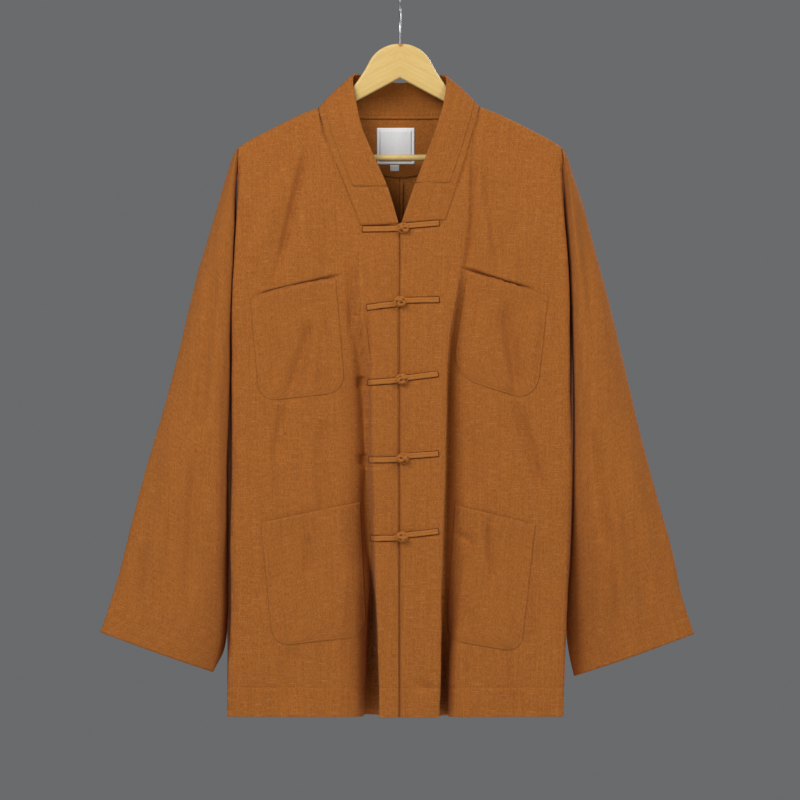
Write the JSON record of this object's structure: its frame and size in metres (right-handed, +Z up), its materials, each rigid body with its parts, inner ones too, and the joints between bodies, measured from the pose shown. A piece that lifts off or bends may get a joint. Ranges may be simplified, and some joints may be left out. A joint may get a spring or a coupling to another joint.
{
  "type": "monk short jacket on a wooden hanger",
  "caption": "Straight-front monk's short jacket in ochre linen, with banded collar, frog closures and patch pockets, hanging on a pale wooden hanger with a wire hook.",
  "frame": {"origin": "inside top of the hanger's hook, where the rail carries it", "axes": "+Z up, the front of the jacket faces -Y, +X to the wearer's left; the rail runs along X"},
  "size_m": [0.7785, 0.1183, 0.9592],
  "materials": {
    "linen": "plain-weave ochre linen, matte, slubby",
    "frog_cord": "cord rolled from the same linen",
    "label_tape": "white woven satin tape, bare",
    "pale_wood": "pale lacquered lotus wood, satin",
    "hook_steel": "bright zinc-plated wire"
  },
  "bodies": {
    "root": {"front_left": "linen", "front_right": "linen", "back_left": "linen", "back_right": "linen", "sleeve_left": "linen", "sleeve_right": "linen", "collar_band": "linen", "collar_guard": "linen", "neck_facing": "linen", "pocket_upper_left": "linen", "pocket_upper_right": "linen", "pocket_lower_left": "linen", "pocket_lower_right": "linen", "frog_1_knot": "frog_cord", "frog_1_loop": "frog_cord", "frog_2_knot": "frog_cord", "frog_2_loop": "frog_cord", "frog_3_knot": "frog_cord", "frog_3_loop": "frog_cord", "frog_4_knot": "frog_cord", "frog_4_loop": "frog_cord", "frog_5_knot": "frog_cord", "frog_5_loop": "frog_cord", "label": "label_tape", "size_tag": "label_tape", "hanger_wood": "pale_wood", "hanger_bar": "pale_wood", "hanger_hook": "hook_steel"}
  },
  "joints": []
}
